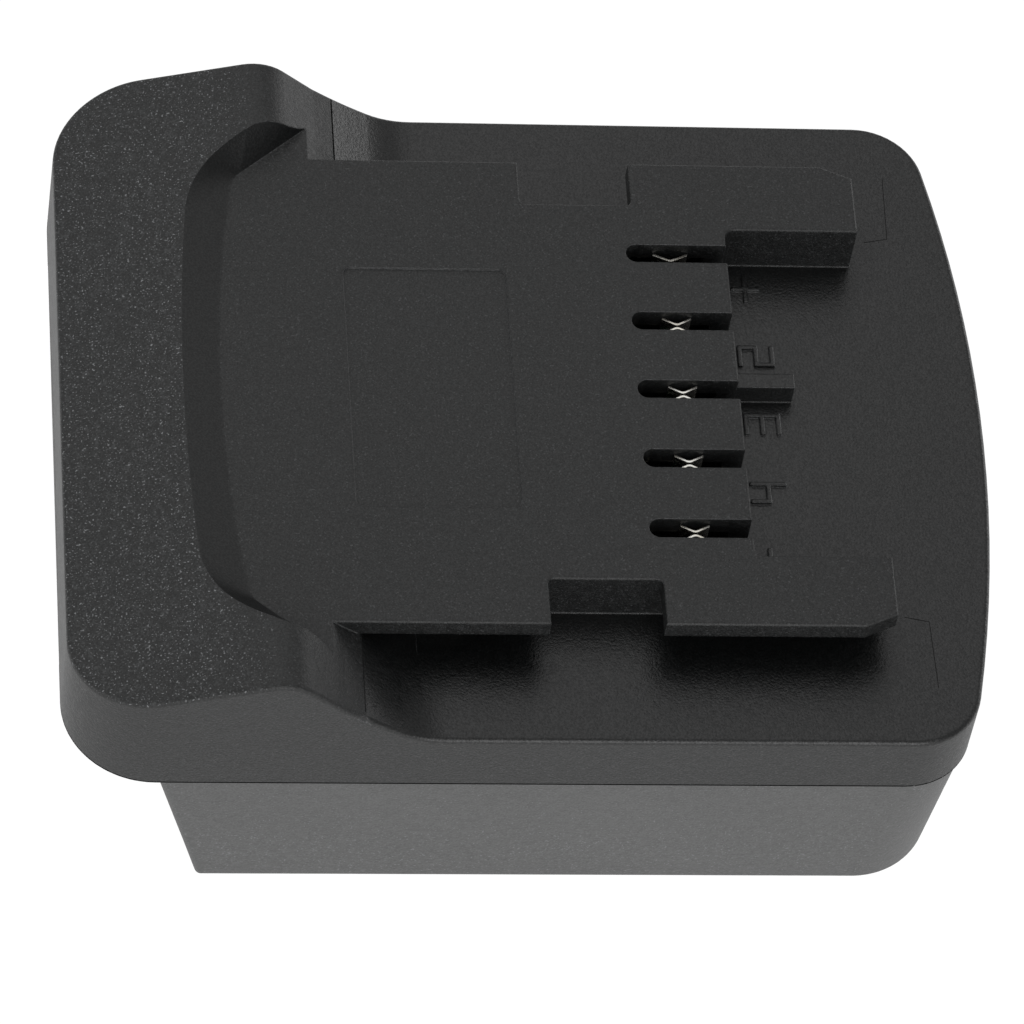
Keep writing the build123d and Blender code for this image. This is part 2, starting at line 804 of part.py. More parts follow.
# Release button: the thumb bar in the hood's end, its flange and the two arms
with BuildPart() as release_button:
    with BuildSketch(Plane.YZ.offset(end_x)):
        add(button_opening(0))
    extrude(amount=button_head_length)
    lower_edges = release_button.edges().filter_by(Axis.X).group_by(Axis.Z)[0]
    fillet(lower_edges, button_lower_radius)
    # The lower half of the thumb bar leans back
    with BuildSketch(Plane.XZ):
        with BuildLine():
            Polyline(
                (end_x, z_crease),
                (end_x + button_lean, z_crease - button_drop),
                (end_x - cut_over, z_crease - button_drop),
                (end_x - cut_over, z_crease),
                close=True,
            )
        make_face()
    extrude(amount=button_width, both=True, mode=Mode.SUBTRACT)
    # Grip ribs on the leaning face
    for number in range(grip_rib_count):
        drop_share = (grip_rib_inset + number * grip_rib_pitch) / button_drop
        with BuildSketch(Plane.XZ):
            with Locations((end_x + drop_share * button_lean, z_crease - drop_share * button_drop)):
                Circle(grip_rib_radius)
        extrude(amount=grip_rib_width / 2, both=True)
    # The flange behind the end wall keeps the button in
    with BuildSketch(Plane.YZ.offset(flange_front_x)):
        with Locations((0, z_button_flange)):
            Rectangle(
                button_width + 2 * button_flange_overlap,
                button_flange_height,
                align=(Align.CENTER, Align.MIN),
            )
            Rectangle(
                button_width - 2 * button_lower_radius,
                button_drop / 2 + spigot_height,
                align=(Align.CENTER, Align.MAX),
            )
    extrude(amount=button_flange_thickness)
    # Arms with slanting slots that draw the latches in
    with BuildSketch(Plane.XY.offset(z_arm)):
        arm_length = latch_x + latch_length / 2 + arm_end_margin - flange_front_x
        slot_run = math.hypot(latch_travel, button_travel)
        slot_slant = math.degrees(math.atan2(latch_travel, button_travel))
        slot_y = latch_pin_y - latch_travel / 2
        for side in (-1, 1):
            with Locations((flange_front_x, side * (arm_inner_y + arm_outer_y) / 2)):
                Rectangle(arm_length, arm_outer_y - arm_inner_y, align=(Align.MIN, Align.CENTER))
            with Locations(Location((latch_x - button_travel / 2, side * slot_y), side * slot_slant)):
                SlotCenterToCenter(
                    slot_run, 2 * (latch_pin_radius + pin_gap), mode=Mode.SUBTRACT
                )
    extrude(amount=arm_thickness)
    # Pins that centre the springs
    with BuildSketch(Plane.YZ.offset(flange_back_x)):
        with Locations(*spring_places):
            Circle(spring_pin_radius)
    extrude(amount=spring_button_pin)


def latch_outline(side):
    """A side latch in plan, with the lead-in ramp facing the contact end."""
    front_x = latch_x + latch_length / 2
    back_x = latch_x - latch_length / 2
    with BuildSketch() as outline:
        with BuildLine():
            Polyline(
                (back_x, side * latch_inner_y),
                (back_x, side * latch_tip_y),
                (front_x - latch_ramp_length, side * latch_tip_y),
                (front_x, side * neck_width / 2),
                (front_x, side * latch_inner_y),
                close=True,
            )
        make_face()
    return outline.sketch


# Side latches: bars that come out of the neck under the rails, each with its pin
latches = []
for side in (1, -1):
    with BuildPart() as latch:
        with BuildSketch(Plane.XY.offset(z_latch)):
            add(latch_outline(side))
        extrude(amount=latch_height)
        with BuildSketch(Plane.XY.offset(z_arm + seat_gap)):
            with Locations((latch_x, side * latch_pin_y)):
                Circle(latch_pin_radius)
        extrude(amount=z_latch - z_arm)
    latches.append(latch)

# Button springs: one unbroken coil each, along X
spring_pitch = (spring_length - 2 * (spring_wire_radius + pin_gap)) / spring_turns
spring_start_x = flange_back_x + spring_wire_radius + pin_gap
springs = []
for side in (1, -1):
    with BuildPart() as spring:
        with BuildLine():
            coil = Helix(
                spring_pitch,
                spring_pitch * spring_turns,
                spring_mean_radius,
                center=(spring_start_x, side * spring_y, z_spring),
                direction=(1, 0, 0),
            )
        with BuildSketch(Plane(origin=coil @ 0, z_dir=coil % 0)):
            Circle(spring_wire_radius)
        sweep(path=coil, is_frenet=True)
    springs.append(spring)
print("least gap between a spring's turns, mm", spring_pitch - 2 * spring_wire_radius)


def leaf_outline(leaf_length, side):
    """One spring leaf of a contact clip in plan, bent towards the slot's middle."""
    half = leaf_length / 2
    near = side * clip_mouth / 2
    far = side * clip_flare
    grown = side * clip_leaf_thickness
    with BuildSketch() as leaf:
        with BuildLine():
            FilletPolyline((-half, far), (0, near), (half, far), radius=clip_bend_radius)
            Line((half, far), (half, far + grown))
            FilletPolyline(
                (half, far + grown),
                (0, near + grown),
                (-half, far + grown),
                radius=clip_bend_radius,
            )
            Line((-half, far + grown), (-half, far))
        make_face()
    return leaf.sketch


# Contact clips: a base on the carrier, two bent leaves up into the slot, and a tail
contact_clips = []
for y in slot_ys:
    is_main = y == slot_ys[-1]
    leaf_length = main_clip_leaf_length if is_main else clip_leaf_length
    leaf_top = z_deck - (main_clip_depth if is_main else clip_depth)
    with BuildPart() as clip:
        with BuildSketch(Plane.XY.offset(z_carrier_top)):
            with Locations((clip_x, y)):
                Rectangle(clip_base_length, clip_base_width)
        extrude(amount=clip_base_thickness)
        with BuildSketch(Plane.XY.offset(z_carrier_top)):
            with Locations((clip_x, y)):
                add(leaf_outline(leaf_length, 1))
                add(leaf_outline(leaf_length, -1))
        extrude(amount=leaf_top - z_carrier_top)
        with BuildSketch(Plane.XY.offset(z_clip_tail)):
            with Locations((clip_x, y)):
                Rectangle(clip_tail_width, blade_thickness)
        extrude(amount=z_carrier_top - z_clip_tail)
    contact_clips.append(clip)

# Clip carrier: the moulded bar that the clips stand in, on two feet
with BuildPart() as clip_carrier:
    with BuildSketch(Plane.XY.offset(z_carrier)):
        with Locations((clip_x, 0)):
            Rectangle(carrier_length, 2 * (slot_ys[-1] + carrier_margin))
        with Locations(*[(clip_x, y) for y in slot_ys]):
            Rectangle(
                clip_tail_width + 2 * pin_gap, blade_thickness + 2 * pin_gap, mode=Mode.SUBTRACT
            )
    extrude(amount=carrier_height)
    with BuildSketch(Plane.XY.offset(z_roof_top)):
        with Locations((clip_x, between_slot_ys[0]), (clip_x, between_slot_ys[-1])):
            Rectangle(carrier_length, carrier_foot_width)
    extrude(amount=z_carrier - z_roof_top)


def blade_profile(grow):
    """A blade seen from the side: a bar into the cavity and a tail up to the tray."""
    with BuildSketch() as profile:
        with BuildLine():
            Polyline(
                (blade_tip_x, blade_rise - grow),
                (blade_root_x + grow, blade_rise - grow),
                (blade_root_x + grow, z_blade_tail + grow),
                (blade_tail_x - grow, z_blade_tail + grow),
                (blade_tail_x - grow, blade_rise + blade_height + grow),
                (blade_tip_x, blade_rise + blade_height + grow),
                close=True,
            )
        make_face()
    return profile.sketch


# Blade block: the moulded block that hangs through the cavity's roof
with BuildPart() as blade_block:
    with BuildSketch(Plane.XY.offset(block_rise)):
        with Locations((block_start_x, 0)):
            Rectangle(block_length, 2 * block_half_width, align=(Align.MIN, Align.CENTER))
    extrude(amount=z_roof_top - block_rise)
    with BuildSketch(Plane.XY.offset(z_roof_top)):
        with Locations((block_start_x - block_flange, 0)):
            Rectangle(
                block_length + 2 * block_flange,
                2 * (block_half_width + block_flange),
                align=(Align.MIN, Align.CENTER),
            )
    extrude(amount=block_flange_thickness)
    for y in blade_ys:
        with BuildSketch(Plane.XZ.offset(-y)):
            add(blade_profile(pin_gap))
        extrude(amount=blade_thickness / 2 + pin_gap, both=True, mode=Mode.SUBTRACT)

# Blades: two for power at the outer slots' places and two for signals
blades = []
for y in blade_ys:
    with BuildPart() as blade:
        with BuildSketch(Plane.XZ.offset(-y)):
            add(blade_profile(0))
        extrude(amount=blade_thickness / 2, both=True)
        tip_edges = blade.faces().sort_by(Axis.X)[0].edges().filter_by(Axis.Z)
        chamfer(tip_edges, blade_tip_chamfer)
    blades.append(blade)

# Bus straps: flat bars on the outer faces of the power clips' tails and blades' tails
straps = []
for side in (-1, 1):
    with BuildPart() as strap:
        strap_start_x = clip_x - clip_tail_width / 2
        with BuildSketch(Plane.XY.offset(z_strap)):
            with Locations((strap_start_x, side * (slot_ys[-1] + blade_thickness / 2))):
                Rectangle(
                    blade_root_x - strap_start_x,
                    strap_thickness,
                    align=(Align.MIN, Align.MIN if side > 0 else Align.MAX),
                )
        extrude(amount=strap_height)
    straps.append(strap)

# Circuit board on its standoffs
with BuildPart() as circuit_board:
    with BuildSketch(Plane.XY.offset(z_board)):
        with Locations((board_start_x, 0)):
            Rectangle(board_length, board_width, align=(Align.MIN, Align.CENTER))
        with Locations(*board_holes):
            Circle(board_screw_radius + pin_gap, mode=Mode.SUBTRACT)
    extrude(amount=board_thickness)

with BuildPart() as board_screws:
    with BuildSketch(Plane.XY.offset(z_roof_top)):
        with Locations(*board_holes):
            Circle(board_screw_radius)
    extrude(amount=z_board_top - z_roof_top)
    with BuildSketch(Plane.XY.offset(z_board_top)):
        with Locations(*board_holes):
            Circle(board_screw_head_radius)
    extrude(amount=board_screw_head_height)

with BuildPart() as control_chip:
    with BuildSketch(Plane.XY.offset(z_board_top)):
        with Locations((chip_x, 0)):
            Rectangle(chip_size, chip_size)
    extrude(amount=chip_height)

with BuildPart() as capacitor:
    with BuildSketch(Plane.XY.offset(z_board_top)):
        with Locations((capacitor_x, capacitor_y)):
            Circle(capacitor_radius)
    extrude(amount=capacitor_height)

with BuildPart() as fuse:
    with BuildSketch(Plane.XY.offset(z_board_top)):
        with Locations((fuse_x, -fuse_y)):
            Rectangle(fuse_length, fuse_width)
    extrude(amount=fuse_height)

with BuildPart() as chip_resistors:
    with BuildSketch(Plane.XY.offset(z_board_top)):
        with Locations((resistor_x, 0)):
            with GridLocations(resistor_pitch, resistor_pitch, 1, resistor_count):
                Rectangle(resistor_length, resistor_width)
    extrude(amount=resistor_height)

# Clip wires: three straight wires from the board to the inner clips' tails
clip_wires = []
for y in slot_ys[1:-1]:
    with BuildPart() as wire:
        with BuildSketch(Plane.YZ.offset(board_end_x)):
            with Locations((y, z_wire)):
                Circle(wire_radius)
        extrude(amount=clip_x - clip_tail_width / 2 - board_end_x)
    clip_wires.append(wire)

# Blade wires: two wires from the board past the clips to the signal blades' tails
blade_wires = []
for side in (-1, 1):
    with BuildPart() as wire:
        detour_y = side * (slot_pitch - wire_detour)
        blade_y = side * slot_pitch
        detour_end_x = board_end_x + wire_detour_run
        with BuildLine() as route:
            FilletPolyline(
                (board_end_x, detour_y, z_wire),
                (detour_end_x, detour_y, z_wire),
                (detour_end_x + wire_return_run, blade_y, z_wire),
                (blade_tail_x, blade_y, z_wire),
                radius=wire_bend_radius,
            )
        with BuildSketch(Plane.YZ.offset(board_end_x)):
            with Locations((detour_y, z_wire)):
                Circle(wire_radius)
        sweep(path=route.line)
    blade_wires.append(wire)

# Battery catch: a steel plate on the cavity's roof whose window holds the hook
with BuildPart() as battery_catch:
    with BuildSketch(Plane.XY.offset(z_roof_top)):
        with Locations((catch_x, 0)):
            Rectangle(catch_length, catch_width)
            Rectangle(hook_window_length, hook_window_width, mode=Mode.SUBTRACT)
        with Locations(*catch_screw_places):
            Circle(catch_screw_radius + pin_gap, mode=Mode.SUBTRACT)
    extrude(amount=catch_thickness)

with BuildPart() as catch_screws:
    with BuildSketch(Plane.XY.offset(z_roof_top - catch_screw_grip)):
        with Locations(*catch_screw_places):
            Circle(catch_screw_radius)
    extrude(amount=catch_screw_grip + catch_thickness)
    with BuildSketch(Plane.XY.offset(z_roof_top + catch_thickness)):
        with Locations(*catch_screw_places):
            Circle(catch_screw_head_radius)
    extrude(amount=catch_screw_head_height)

# Every piece is written under its own name
pieces = {
    "upper_cover": upper_cover,
    "lower_shell": lower_shell,
    "case_screws": case_screws,
    "release_button": release_button,
    "latch_left": latches[0],
    "latch_right": latches[1],
    "button_spring_left": springs[0],
    "button_spring_right": springs[1],
    "clip_carrier": clip_carrier,
    "blade_block": blade_block,
    "blade_negative": blades[0],
    "signal_blade_right": blades[1],
    "signal_blade_left": blades[2],
    "blade_positive": blades[3],
    "bus_strap_negative": straps[0],
    "bus_strap_positive": straps[1],
    "circuit_board": circuit_board,
    "board_screws": board_screws,
    "control_chip": control_chip,
    "capacitor": capacitor,
    "fuse": fuse,
    "chip_resistors": chip_resistors,
    "blade_wire_right": blade_wires[0],
    "blade_wire_left": blade_wires[1],
    "battery_catch": battery_catch,
    "catch_screws": catch_screws,
}
pieces.update({f"contact_clip_{number}": clip for number, clip in enumerate(contact_clips, 1)})
pieces.update({f"clip_wire_{number}": wire for number, wire in enumerate(clip_wires, 2)})

os.makedirs("parts", exist_ok=True)
for name, piece in pieces.items():
    piece.part.label = name
    export_step(piece.part, f"parts/{name}.step")
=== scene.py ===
import bmesh
import bpy
import json
import math
from mathutils import Matrix, Vector


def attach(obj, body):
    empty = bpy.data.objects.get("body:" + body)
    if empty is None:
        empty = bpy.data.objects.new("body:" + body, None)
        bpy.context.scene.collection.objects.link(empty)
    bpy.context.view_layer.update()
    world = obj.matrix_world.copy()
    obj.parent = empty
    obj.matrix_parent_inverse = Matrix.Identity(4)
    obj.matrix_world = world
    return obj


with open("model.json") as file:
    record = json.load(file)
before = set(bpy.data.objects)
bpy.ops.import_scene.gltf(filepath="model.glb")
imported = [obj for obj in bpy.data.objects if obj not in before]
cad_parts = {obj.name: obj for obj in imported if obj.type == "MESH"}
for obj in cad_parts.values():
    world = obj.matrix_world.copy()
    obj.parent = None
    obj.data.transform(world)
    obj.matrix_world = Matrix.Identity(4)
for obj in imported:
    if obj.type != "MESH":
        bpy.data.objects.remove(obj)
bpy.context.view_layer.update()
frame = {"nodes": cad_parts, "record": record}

# Lengths are metres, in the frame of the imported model
mm = 0.001

# The camera solved from the photograph's straight edges, its offset in the solve's own unit
photo_width_px = 1024
focal_px = 7000
sensor_width_mm = 36.0
camera_elevation = math.radians(55.24)
camera_yaw = math.radians(12.28)
camera_roll = math.radians(-10.72)
camera_offset = Vector((11.972, -11.786, 668.09))
camera_reach = 10.0
solved_unit = 1.036 * mm
solved_origin = Vector((10.65, 0, 32.5)) * mm

# Each material's darker and lighter tone, as linear red, green and blue
tones = {
    "cover_plastic": ((0.0024, 0.0027, 0.0028), (0.0080, 0.0085, 0.0086)),
    "shell_plastic": ((0.050, 0.0505, 0.0505), (0.094, 0.0945, 0.0945)),
    "button_plastic": ((0.0025, 0.0025, 0.0027), (0.0060, 0.0060, 0.0063)),
    "latch_plastic": ((0.0060, 0.0060, 0.0062), (0.0110, 0.0110, 0.0114)),
    "inner_plastic": ((0.0060, 0.0060, 0.0062), (0.0110, 0.0110, 0.0114)),
    "spring_steel": ((0.55, 0.55, 0.53), (0.42, 0.41, 0.39)),
    "contact_metal": ((0.80, 0.79, 0.75), (0.60, 0.57, 0.50)),
    "bus_metal": ((0.78, 0.36, 0.20), (0.48, 0.22, 0.13)),
    "screw_steel": ((0.52, 0.52, 0.51), (0.38, 0.37, 0.35)),
    "catch_steel": ((0.56, 0.56, 0.56), (0.42, 0.41, 0.40)),
    "capacitor_can": ((0.74, 0.74, 0.75), (0.60, 0.60, 0.61)),
    "board_laminate": ((0.010, 0.085, 0.030), (0.030, 0.170, 0.060)),
    "chip_black": ((0.012, 0.012, 0.012), (0.020, 0.020, 0.021)),
    "fuse_body": ((0.55, 0.50, 0.36), (0.68, 0.63, 0.48)),
    "wire_cover": ((0.36, 0.02, 0.015), (0.48, 0.035, 0.025)),
    # Painted shade of the hairlines: the seam under the rim and the mould's lines
    "seam_shadow_deep": ((0.0010, 0.0010, 0.0010), (0.0045, 0.0045, 0.0045)),
    "seam_shadow_soft": ((0.0030, 0.0030, 0.0030), (0.0100, 0.0100, 0.0100)),
}

# Plain mouldings: roughness, grain size, strength of the relief and of the painted glints
mouldings = {
    "shell_plastic": {"rough": 0.55, "grain": 0.26 * mm, "relief": 0.9, "sparkle": 0.25},
    "button_plastic": {"rough": 0.48, "grain": 0.24 * mm, "relief": 0.7, "sparkle": 0.20},
    "latch_plastic": {"rough": 0.36, "grain": 0.30 * mm, "relief": 0.25, "sparkle": 0.0},
    "inner_plastic": {"rough": 0.42, "grain": 0.30 * mm, "relief": 0.25, "sparkle": 0.0},
}

# Metals: roughness, and how the fine drawn lines are stretched
metals = {
    "spring_steel": {"rough": 0.30, "stretch": (0.08, 1, 1)},
    "contact_metal": {"rough": 0.26, "stretch": (0.08, 1, 1)},
    "bus_metal": {"rough": 0.34, "stretch": (0.08, 1, 1)},
    "screw_steel": {"rough": 0.36, "stretch": (1, 1, 1)},
    "catch_steel": {"rough": 0.34, "stretch": (1, 0.08, 1)},
    "capacitor_can": {"rough": 0.28, "stretch": (1, 1, 0.08)},
}
metal_line_size = 0.15 * mm
metal_tarnish_size = 2.5 * mm
metal_line_relief = 0.15
metal_line_depth = 0.02 * mm
metal_edge_radius = 0.08 * mm

# Painted and insulated small parts
coat_roughness = {"chip_black": 0.55, "fuse_body": 0.30, "wire_cover": 0.38}
coat_mottle_size = 0.8 * mm
coat_relief = 0.1
coat_depth = 0.02 * mm
coat_edge_radius = 0.1 * mm
laminate_run_size = 4 * mm
laminate_run_gap = 0.06
laminate_rough = 0.32
laminate_relief = 0.2
laminate_depth = 0.03 * mm

# The plastics' grain: levels are shares of the noise's range, pit and glint sizes of the grain's
grain_depth = 0.09 * mm
grain_coarse_ratio = 3
grain_coarse_share = 0.4
grain_low = 0.38
grain_high = 0.62
edge_radius = 0.12 * mm
broad_size = 14 * mm
broad_share = 0.35
rough_spread = 0.05
noise_detail = 2.0
mottle_detail = 3.0
pit_detail = 1.0
glint_detail = 0.0
pit_size = 0.8
pit_gloss = 0.43
peak_gloss = 0.57
# Glints are painted highlights: small specks of lighter base colour in the grain
glint_size = 0.75
glint_start = 0.68
glint_full = 0.82
glint_colour = (0.30, 0.31, 0.32)
dim_glint_start = 0.50
dim_glint_full = 0.66

# Rounding of the shading at edges, and the numbered sockets of a colour mix
bevel_samples = 6
mix_share = 0
mix_colours = (6, 7)
mix_result = 2

# Painted highlight along the edges: lighter base colour where a rounded normal turns away, broken
# up by noise
highlight_radius = 0.14 * mm
highlight_break_size = 0.35 * mm
highlight_start = 0.97
highlight_full = 0.86
highlight_gap_low = 0.35
highlight_gap_high = 0.60
cover_edge_highlight = 0.22
shell_edge_highlight = 0.15

# The cover's surface: grain, the satin areas that its mould's inserts gave it, the painted
# glints, and the painted shade on the recess wall
cover_grain = 0.24 * mm
cover_relief = 0.9
cover_edge_radius = 0.3 * mm
cover_rough = 0.50
satin_rough = 0.33
satin_relief = 0.8
# Share of the tone kept on the satin flange, and on the recess wall as painted shade
satin_and_shade_tone = 0.25
satin_top = 32.1 * mm
satin_fade = 0.1 * mm
upward_low = 0.25
upward_high = 0.45
hood_lean_low = -0.10
hood_lean_high = -0.20
hood_grain_end = -24 * mm
hood_grain_fade = 9 * mm
# How strong the painted glints are on the hood's top and on the deck
hood_sparkle = 0.60
deck_sparkle = 0.10
hood_dim_glint = 0.09
deck_dim_glint = 0.02
# The recess wall, darkened with painted shade: a darker tone, fewer glints, and less gloss where
# it turns sideways
recess_wall_bottom = 32.6 * mm
recess_back_half_width = 27 * mm
recess_side_half_width = 34 * mm
recess_lean_low = 0.12
recess_lean_high = 0.16
recess_turn_low = 0.2
recess_turn_high = 0.3
recess_glint_loss = 0.8
recess_side_shaded_gloss = 0.45
recess_side_turn = 0.5

# Hairlines: thin dark bars of painted shade along the mould's witness and insert lines, and in
# the seam under the rim
witness_x = -17.9 * mm
witness_inner_y = 27.95 * mm
witness_outer_y = 37.1 * mm
insert_line_shade = [
    Vector((36.3, 22.8)) * mm,
    Vector((38.7, 23.3)) * mm,
    Vector((38.9, 31.0)) * mm,
]
witness_width = 0.16 * mm
witness_near_width = 0.10 * mm
insert_width = 0.07 * mm
seam_height = 0.14 * mm
seam_level = 18.6 * mm
seam_unevenness_size = 0.5 * mm
seam_rough = 1.0
seam_shadow_gloss = {"seam_shadow_deep": 0.0, "seam_shadow_soft": 0.25}
line_proud = 0.012 * mm
line_depth = 0.06 * mm
line_step = 0.5 * mm
ray_start = 0.1
button_opening_half = 24 * mm
rim_steps = 720

# Floor and light: sizes and distances in metres, power in watts
floor_size = 3.0
floor_colour = (0.9, 0.9, 0.9, 1)
floor_white_share = 0.88
floor_white_rays = ("Is Camera Ray", "Is Glossy Ray", "Is Transmission Ray", "Is Diffuse Ray")
floor_glow = 1.1
sky_colour = (1, 1, 1, 1)
sky_strength = 0.47
lamp_distance = 0.9
lamps = {
    "hood_end_panel": {"direction": (-1.0, -0.25, 0.30), "size": 0.7, "power": 2.0},
    "near_panel": {"direction": (0.1, -1.0, 0.50), "size": 0.7, "power": 4.0},
    "far_panel": {"direction": (0.85, 0.55, 0.10), "size": 0.4, "power": 1.2},
    "top_panel": {"direction": (-0.2, 0.6, 1.1), "size": 0.9, "power": 1.6},
}


def solved_axes():
    """The camera's right, down and forward directions."""
    forward = Vector((
        math.sin(camera_yaw) * math.cos(camera_elevation),
        math.cos(camera_yaw) * math.cos(camera_elevation),
        -math.sin(camera_elevation),
    ))
    level = Vector((math.cos(camera_yaw), -math.sin(camera_yaw), 0))
    below = forward.cross(level)
    cosine = math.cos(camera_roll)
    sine = math.sin(camera_roll)
    right = cosine * level + sine * below
    down = -sine * level + cosine * below
    return right, down, forward


def add_camera():
    """The photograph's viewpoint."""
    right, down, forward = solved_axes()
    offset = -(right * camera_offset.x + down * camera_offset.y + forward * camera_offset.z)
    place = solved_origin + offset * solved_unit
    data = bpy.data.cameras.new("camera")
    data.sensor_width = sensor_width_mm
    data.lens = focal_px / photo_width_px * sensor_width_mm
    data.clip_end = camera_reach
    camera = bpy.data.objects.new("camera", data)
    turn = Matrix((right, -down, -forward)).transposed()
    camera.matrix_world = Matrix.Translation(place) @ turn.to_4x4()
    bpy.context.scene.collection.objects.link(camera)
    bpy.context.scene.camera = camera


def add_area_light(name, direction, size, power):
    """A soft panel that looks at the object from the given direction."""
    data = bpy.data.lights.new(name, "AREA")
    data.size = size
    data.energy = power
    light = bpy.data.objects.new(name, data)
    light.location = Vector(direction).normalized() * lamp_distance
    light.rotation_euler = (-light.location).to_track_quat("-Z", "Y").to_euler()
    bpy.context.scene.collection.objects.link(light)


class Graph:
    """A small helper that adds nodes to one material and links them."""

    def __init__(self, name):
        self.material = bpy.data.materials.new(name)
        self.material.use_nodes = True
        self.tree = self.material.node_tree
        self.shader = self.tree.nodes["Principled BSDF"]
        self.place = self.add("ShaderNodeTexCoord").outputs["Object"]
        self.dark, self.light = tones[name]

    def add(self, kind, **values):
        """A new node with the given settings."""
        node = self.tree.nodes.new(kind)
        for key, value in values.items():
            setattr(node, key, value)
        return node

    def link(self, source, target):
        self.tree.links.new(source, target)

    def set(self, **values):
        """Constant values on the shader's own sockets."""
        for key, value in values.items():
            self.shader.inputs[key.replace("_", " ")].default_value = value

    def feed(self, **sockets):
        """Sockets that drive the shader."""
        for key, socket in sockets.items():
            self.link(socket, self.shader.inputs[key.replace("_", " ")])

    def noise(self, size, detail=noise_detail, stretch=(1, 1, 1)):
        """Noise whose features are about the given size in metres."""
        mapping = self.add("ShaderNodeMapping")
        mapping.inputs["Scale"].default_value = stretch
        self.link(self.place, mapping.inputs["Vector"])
        node = self.add("ShaderNodeTexNoise")
        node.inputs["Scale"].default_value = 1 / size
        node.inputs["Detail"].default_value = detail
        self.link(mapping.outputs["Vector"], node.inputs["Vector"])
        return node.outputs["Fac"]

    def span(self, value, low, high, to_low=0.0, to_high=1.0):
        """The value's place between low and high, carried over to another range."""
        node = self.add("ShaderNodeMapRange")
        numbers = {"From Min": low, "From Max": high, "To Min": to_low, "To Max": to_high}
        for key, number in numbers.items():
            node.inputs[key].default_value = number
        self.link(value, node.inputs["Value"])
        return node.outputs["Result"]

    def pick(self, share, first, second):
        """The first number where the share is zero and the second where it is one."""
        return self.span(share, 0, 1, first, second)

    def math(self, operation, first, second=None):
        """One arithmetic step; each input is a socket or a number."""
        node = self.add("ShaderNodeMath", operation=operation)
        for index, value in enumerate((first, second)):
            if value is None:
                continue
            if isinstance(value, (int, float)):
                node.inputs[index].default_value = value
            else:
                self.link(value, node.inputs[index])
        return node.outputs["Value"]

    def times(self, first, second):
        """The product; each input is a socket or a number."""
        return self.math("MULTIPLY", first, second)

    def blend(self, share, first, second):
        """The first value with a share of the second in it."""
        return self.math("ADD", self.times(first, 1 - share), self.times(second, share))

    def mix(self, share, first, second):
        """A colour between two colours; either may be a socket."""
        node = self.add("ShaderNodeMix", data_type="RGBA")
        self.link(share, node.inputs[mix_share])
        for index, colour in zip(mix_colours, (first, second)):
            if isinstance(colour, (tuple, list)):
                node.inputs[index].default_value = (*colour, 1)
            else:
                self.link(colour, node.inputs[index])
        return node.outputs[mix_result]

    def tone(self, share):
        """A colour between the material's darker and lighter tone."""
        return self.mix(share, self.dark, self.light)

    def separate(self, vector):
        """The three parts of a vector."""
        node = self.add("ShaderNodeSeparateXYZ")
        self.link(vector, node.inputs["Vector"])
        return [node.outputs[name] for name in "XYZ"]

    def facing(self):
        """The direction that the surface itself faces, without bump."""
        return self.add("ShaderNodeNewGeometry").outputs["True Normal"]

    def rounded(self, radius):
        """Normals that are rounded at the edges."""
        node = self.add("ShaderNodeBevel", samples=bevel_samples)
        node.inputs["Radius"].default_value = radius
        return node.outputs["Normal"]

    def bump(self, height, strength, distance, radius):
        """Bump over normals that are rounded at the edges."""
        node = self.add("ShaderNodeBump")
        node.inputs["Strength"].default_value = strength
        node.inputs["Distance"].default_value = distance
        self.link(height, node.inputs["Height"])
        self.link(self.rounded(radius), node.inputs["Normal"])
        self.feed(Normal=node.outputs["Normal"])


def grain_height(graph, grain):
    """Fine grain over a coarser one."""
    coarse = graph.noise(grain_coarse_ratio * grain)
    return graph.blend(grain_coarse_share, graph.noise(grain), coarse)


def grain_gloss(graph, grain):
    """Pits in the finest grain reflect less than peaks."""
    pits = graph.noise(pit_size * grain, pit_detail)
    return graph.span(pits, grain_low, grain_high, pit_gloss, peak_gloss)


def grain_tone(graph, height):
    """Share of the lighter tone: the grain with broad soft patches."""
    grain = graph.span(height, grain_low, grain_high)
    return graph.blend(broad_share, grain, graph.noise(broad_size))


def varied_roughness(graph, pattern, rough):
    """Roughness that rises and falls a little with a pattern."""
    return graph.span(pattern, grain_low, grain_high, rough - rough_spread, rough + rough_spread)


def edge_highlight(graph, strength):
    """Share of painted edge highlight: high where a rounded normal turns away from the surface's
    own.
    """
    alike = graph.add("ShaderNodeVectorMath", operation="DOT_PRODUCT")
    graph.link(graph.rounded(highlight_radius), alike.inputs[0])
    graph.link(graph.facing(), alike.inputs[1])
    lit_edge = graph.span(alike.outputs["Value"], highlight_start, highlight_full, 0.0, strength)
    return graph.times(lit_edge, graph.span(graph.noise(highlight_break_size), highlight_gap_low, highlight_gap_high))


def moulded_plastic(name, rough, grain, relief, sparkle):
    """Dark moulded plastic with a spark-eroded grain and small glints painted into its base
    colour.
    """
    graph = Graph(name)
    height = grain_height(graph, grain)
    # Painted glints
    spots = graph.noise(glint_size * grain, glint_detail)
    glint = graph.span(spots, glint_start, glint_full, 0.0, sparkle)
    # Painted highlights in the base colour: the glints, and a light line along the edges
    bright = graph.math("MAXIMUM", glint, edge_highlight(graph, shell_edge_highlight))
    graph.feed(
        Base_Color=graph.mix(bright, graph.tone(grain_tone(graph, height)), glint_colour),
        Roughness=varied_roughness(graph, height, rough),
        Specular_IOR_Level=grain_gloss(graph, grain),
    )
    graph.bump(height, relief, grain_depth, edge_radius)
    return graph.material


